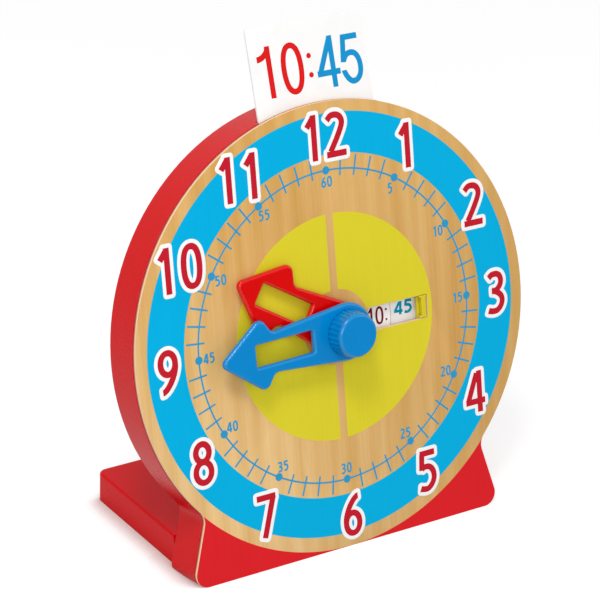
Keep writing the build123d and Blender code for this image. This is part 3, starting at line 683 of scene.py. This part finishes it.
def discard(masters):
    """Throws the drawn figures of a set away."""
    for master in masters.values():
        bpy.data.objects.remove(master)


def stamp(name, masters, places):
    """Copies of the drawn figures, each moved to its place, joined into one piece."""
    copies = []
    for figure, place in places:
        copy = masters[figure].copy()
        copy.data = masters[figure].data.copy()
        copy.data.transform(place)
        bpy.context.scene.collection.objects.link(copy)
        copies.append(copy)
    return weld(name, copies)


def shift(x, y, z=0.0):
    return Matrix.Translation((x * mm, y * mm, z * mm))


hour_places = [("1", shift(-9.2, 121.3)), ("2", shift(8.85, 121.3)), ("1", shift(59.0, 105.4)),
               ("2", shift(108.7, 58.6)), ("3", shift(123.1, -2.8)), ("4", shift(102.7, -65.7)),
               ("5", shift(61.7, -109.6)), ("6", shift(2.1, -124.5)), ("7", shift(-60.2, -109.5)),
               ("8", shift(-103.0, -64.8)), ("9", shift(-121.5, -2.9)), ("1", shift(-118.5, 59.2)),
               ("0", shift(-99.6, 59.2)), ("1", shift(-71.6, 106.1)), ("1", shift(-54.2, 106.1))]
hour_height = 29
borders = draw_set("border", pen_strokes, height=hour_height, stroke=4.2, rise=0.12 * mm, border=2.4)
numeral_borders = stamp("numeral_borders", borders, hour_places)
white_ink = ink("white ink", (0.95, 0.95, 0.94))
on_board(numeral_borders, white_ink)
fills = draw_set("fill", pen_strokes, height=hour_height, stroke=4.4, rise=0.18 * mm)
hour_numerals = stamp("hour_numerals", fills, hour_places)
numeral_ink = ink("numeral red", (0.55, 0.012, 0.027))
on_board(hour_numerals, numeral_ink)

small = draw_set("small", pen_strokes, height=7, stroke=1.25, rise=0.06 * mm)
minute_radius = 92.8
figure_step = 4.3
minute_places = []
for minute in range(5, 65, 5):
    label = str(minute)
    x, y, _ = around(minute_radius, radians(90 - 6 * minute), 0)
    for n, figure in enumerate(label):
        aside = (n - (len(label) - 1) / 2) * figure_step
        minute_places.append((figure, shift(x + aside, y)))
minute_figures = stamp("minute_numerals", small, minute_places)
on_board(minute_figures, track_ink)
for masters in (borders, fills, small):
    discard(masters)

# Shutter. A moulded yellow plate that slides in two beech rails behind the window, pushed by a
# rib that widens into a foot at both ends.
moulded, given, put = effect(
    "moulded plastic", [("Vector", "Vector", None), ("Colour", "Color", (1, 1, 1, 1)),
                        ("Rubbed colour", "Color", (1, 1, 1, 1)), ("Edge lighting", "Float", 0.2),
                        ("Gloss", "Float", 0.25)], [*surface, ("Polish", "Float")])
flow = noise(moulded, given["Vector"], 26.0, 2.0, distortion=1.5)
skin = noise(moulded, given["Vector"], 1300.0, 2.0)
scuffs = noise(moulded, given["Vector"], 300.0, 4.0, 0.7, stretch=(1, 0.12, 1))
# painted shade: darker in grooves and tight corners, found by an occlusion test
groove_shade = node(moulded, "AmbientOcclusion", {"Distance": 1.2 * mm}, samples=8).outputs["AO"]
body_tone = blend(moulded, 1.0, given["Colour"],
                  node(moulded, "CombineColor", {n: spread(moulded, flow, 0.97, 1.03, (0.3, 0.7))
                                                 for n in range(3)}).outputs[0], "MULTIPLY")
body_tone = blend(moulded, spread(moulded, groove_shade, 0.65, 0.0, (0.3, 0.85)), body_tone, (0, 0, 0, 1))
# painted edge lighting: the edge mask mixes the edge lighting colour into the plastic
painted_edges = math(moulded, "MULTIPLY", node(moulded, "Group", node_tree=edge_lighting).outputs["Mask"],
            given["Edge lighting"])
moulded.links.new(blend(moulded, painted_edges, body_tone, given["Rubbed colour"]), put["Color"])
scuffed = spread(moulded, scuffs, 0.0, 0.12, (0.58, 0.7))
moulded.links.new(math(moulded, "ADD", math(moulded, "ADD", given["Gloss"], scuffed),
                       spread(moulded, skin, -0.03, 0.03)), put["Roughness"])
moulded.links.new(math(moulded, "ADD", skin, math(moulded, "MULTIPLY", flow, 4.0)), put["Height"])
# rounded edges are polished brighter than the flat faces, which keep the grain of the mould
facing = node(moulded, "VectorMath", {0: node(moulded, "TexCoord").outputs["Normal"],
                                      1: (0, -cos(dial_lean), sin(dial_lean))},
              operation="DOT_PRODUCT").outputs["Value"]
moulded.links.new(spread(moulded, facing, 0.6, 0.0, (0.93, 0.99)), put["Polish"])


# the edge colour paints highlights along rounded edges where it is paler than the body, and shade where it
# is darker
def plastic(name, colour, edge_colour, gloss, edge_amount=0.35, shine=0.2):
    return finish(name, moulded, 0.000006, {"Colour": (*colour, 1), "Gloss": gloss, "Edge lighting": edge_amount,
                                            "Rubbed colour": (*edge_colour, 1)}, dial_turn,
                  Specular_IOR_Level=shine)


yellow_plastic = plastic("yellow plastic", (0.68, 0.56, 0.01), (0.85, 0.8, 0.2), 0.3)
coat(yellow_plastic, "window_shutter")

# Number discs. Two white printed discs turn behind the window: the small one with the hour tube,
# the large one with its own gear. Each has twelve readings round it, one for every place.
white_plastic = plastic("white plastic", (0.92, 0.915, 0.91), (0.86, 0.86, 0.84), 0.4, 0.1)
coat(white_plastic, "hour_disc", "minute_disc", "time_card")
hour_disc_front = -5.5
minute_disc_front = -7.3


def circling(x, y, bearing, z, tilt=0.0):
    """A place beside three o'clock, carried round the axis."""
    return (Matrix.Rotation(radians(bearing), 4, "Z") @ shift(x, y, z)
            @ Matrix.Rotation(radians(tilt), 4, "Z"))


tall = draw_set("tall", pen_strokes, height=11.9, stroke=1.55, rise=0.04 * mm)
shown_hour = 10
tens_place, ones_place, colon_place = 29.0, 36.0, 41.15
small_dot_radius = 0.75 * mm
hour_labels = []
colons = []
for hour in range(1, 13):
    bearing = 30 * (hour - shown_hour)
    label = str(hour)
    if hour > 9:
        hour_labels.append((label[0], circling(tens_place, -0.3, bearing, hour_disc_front)))
    hour_labels.append((label[-1], circling(ones_place, -0.3, bearing, hour_disc_front)))
    for high in (2.7, -3.85):
        deselect()
        bpy.ops.mesh.primitive_circle_add(vertices=20, radius=small_dot_radius, fill_type="NGON")
        dot = bpy.context.object
        dot.data.transform(circling(colon_place, high, bearing, hour_disc_front))
        raise_print(dot)
        colons.append(dot)
disc_red = ink("disc red", (0.17, 0.003, 0.008))
hour_readings = stamp("hour_readings", tall, hour_labels)
hour_readings = weld("hour_readings", [hour_readings, *colons])
on_board(hour_readings, disc_red, "hour", dial_place)

short = draw_set("short", pen_strokes, height=9.5, stroke=1.9, rise=0.04 * mm, widen=1.42)
shown_minute = 45
minute_tens_place, minute_ones_place = 51.9, 59.3
minute_labels = []
for minute in range(0, 60, 5):
    bearing = 6 * (minute - shown_minute)
    for place, figure in zip((minute_tens_place, minute_ones_place), f"{minute:02d}"):
        minute_labels.append((figure, circling(place, 0.8, bearing, minute_disc_front, -4)))
disc_blue = ink("disc blue", (0.0, 0.30, 0.52))
minute_readings = stamp("minute_readings", short, minute_labels)
on_board(minute_readings, disc_blue, "minute_figures", dial_place)

# painted shade: a thin grey ring along the hour disc's edge, as its shade on the disc behind
rim_shade = flat_ring("hour_disc_rim", 44.3 * mm, 44.6 * mm, 240)
rim_shade.data.transform(shift(0, 0, hour_disc_front))
rim_shade_grey = ink("rim shade grey", (0.42, 0.42, 0.42))
on_board(rim_shade, rim_shade_grey, "hour", dial_place)
discard(tall)
discard(short)

# Wheels and shafts. A brass bush in the board carries the brass hour tube; the steel arbor turns in
# the tube. The gears are moulded nylon and run between the dial and a steel plate on four pillars.
brass = finish("turned brass", metal, 0.000004, {"Colour": (0.72, 0.46, 0.14, 1), "Dull": 0.25},
               dial_turn, Metallic=1.0)
coat(brass, "dial_bush", "bush_nut", "hour_tube", "rear_bush")
steel = finish("drawn steel", metal, 0.000004, {"Colour": (0.52, 0.52, 0.54, 1), "Dull": 0.24},
               dial_turn, Metallic=1.0)
coat(steel, "minute_arbor", "idler_post", "arbor_clip", "idler_clip")
rolled = finish("rolled steel", metal, 0.00001, {"Colour": (0.50, 0.51, 0.52, 1), "Dull": 0.38},
                {"Rotation": (radians(90) + dial_lean, 0, 0)}, Metallic=1.0)
coat(rolled, "movement_plate")
nylon = plastic("natural nylon", (0.76, 0.72, 0.60), (0.82, 0.80, 0.72), 0.42, 0.2)
coat(nylon, "hour_wheel", "minute_pinion", "minute_disc_gear", "idler_gear", "hour_washer",
     "hand_spacer", "arbor_washer")

# Hands and knob. Glossy moulded arrows with a long slot, softly rounded along their front edges;
# the red one is pressed on the tube, the blue one and its ribbed knob on the arbor.
red_plastic = plastic("red plastic", (0.70, 0.0, 0.0), (0.92, 0.20, 0.05), 0.2, 0.3, 0.08)
coat(red_plastic, "hour_hand")
blue_plastic = plastic("blue plastic", (0.0, 0.235, 0.60), (0.0, 0.30, 0.70), 0.16, 0.3, 0.08)
coat(blue_plastic, "minute_hand", "hand_knob")

# Time card. A white plastic card with rounded upper corners that stands in the notch of the case;
# the hours are printed red and the minutes blue.
card_lean = radians(9)
card_place = dial_place @ shift(0, 124.535, -3.3) @ Matrix.Rotation(-card_lean, 4, "X")
card_strokes = {
    "1": [(False, (0, 14, 0, 0), (0, -14, 0, 0)), (False, (-7.2, 7.5, 3.2, 0), (0.1, 13.1, 0.4, 3.2))],
    "0": [(True, (0, 12.5, 3.2, 0), (5.4, 0, 0, -8.4), (0, -12.5, -3.2, 0), (-5.4, 0, 0, 8.4))],
    "4": [(False, (3.0, 13.1, 0, 0), (-6.0, -6.5, 0, 0)), (False, (-7.4, -5.8, 0, 0), (7.4, -5.8, 0, 0)),
          (False, (3.0, 14, 0, 0), (3.0, -14, 0, 0))],
    "5": [(False, (-4.9, 12.1, 0, 0), (5.5, 12.1, 0, 0)), (False, (-3.4, 13.4, 0, 0), (-5.3, -1.3, 0, 0)),
          (False, (-4.8, -0.4, 1.0, 2.2), (0.3, 3.4, 3.2, 0), (5.3, -4.8, 0, -4.6), (-0.2, -12.2, -3.0, 0),
           (-5.5, -5.6, 0, 1.2))],
}
card_figures = draw_set("card", card_strokes, height=31.8, stroke=3.7, rise=0.05 * mm)
card_hours = stamp("card_hours", card_figures, [("1", shift(-28.6, 41.2)), ("0", shift(-12.55, 41.05))])
big_dot_radius = 1.65 * mm
points = []
for high in (47.0, 35.2):
    deselect()
    bpy.ops.mesh.primitive_circle_add(vertices=32, radius=big_dot_radius, fill_type="NGON",
                                      location=(0.1 * mm, high * mm, 0))
    point = bpy.context.object
    bpy.ops.object.transform_apply(location=True)
    raise_print(point)
    points.append(point)
card_hours = weld("card_hours", [card_hours, *points])
card_red = finish("card red", printed, 0.000006, {"Colour": (0.70, 0.008, 0.008, 1)},
                  Specular_IOR_Level=0.1)
on_board(card_hours, card_red, "card", card_place)
card_minutes = stamp("card_minutes", card_figures, [("4", shift(13.0, 41.1)), ("5", shift(30.2, 40.6))])
card_blue = finish("card blue", printed, 0.000006, {"Colour": (0.004, 0.28, 0.60, 1)},
                   Specular_IOR_Level=0.1)
on_board(card_minutes, card_blue, "card", card_place)
discard(card_figures)
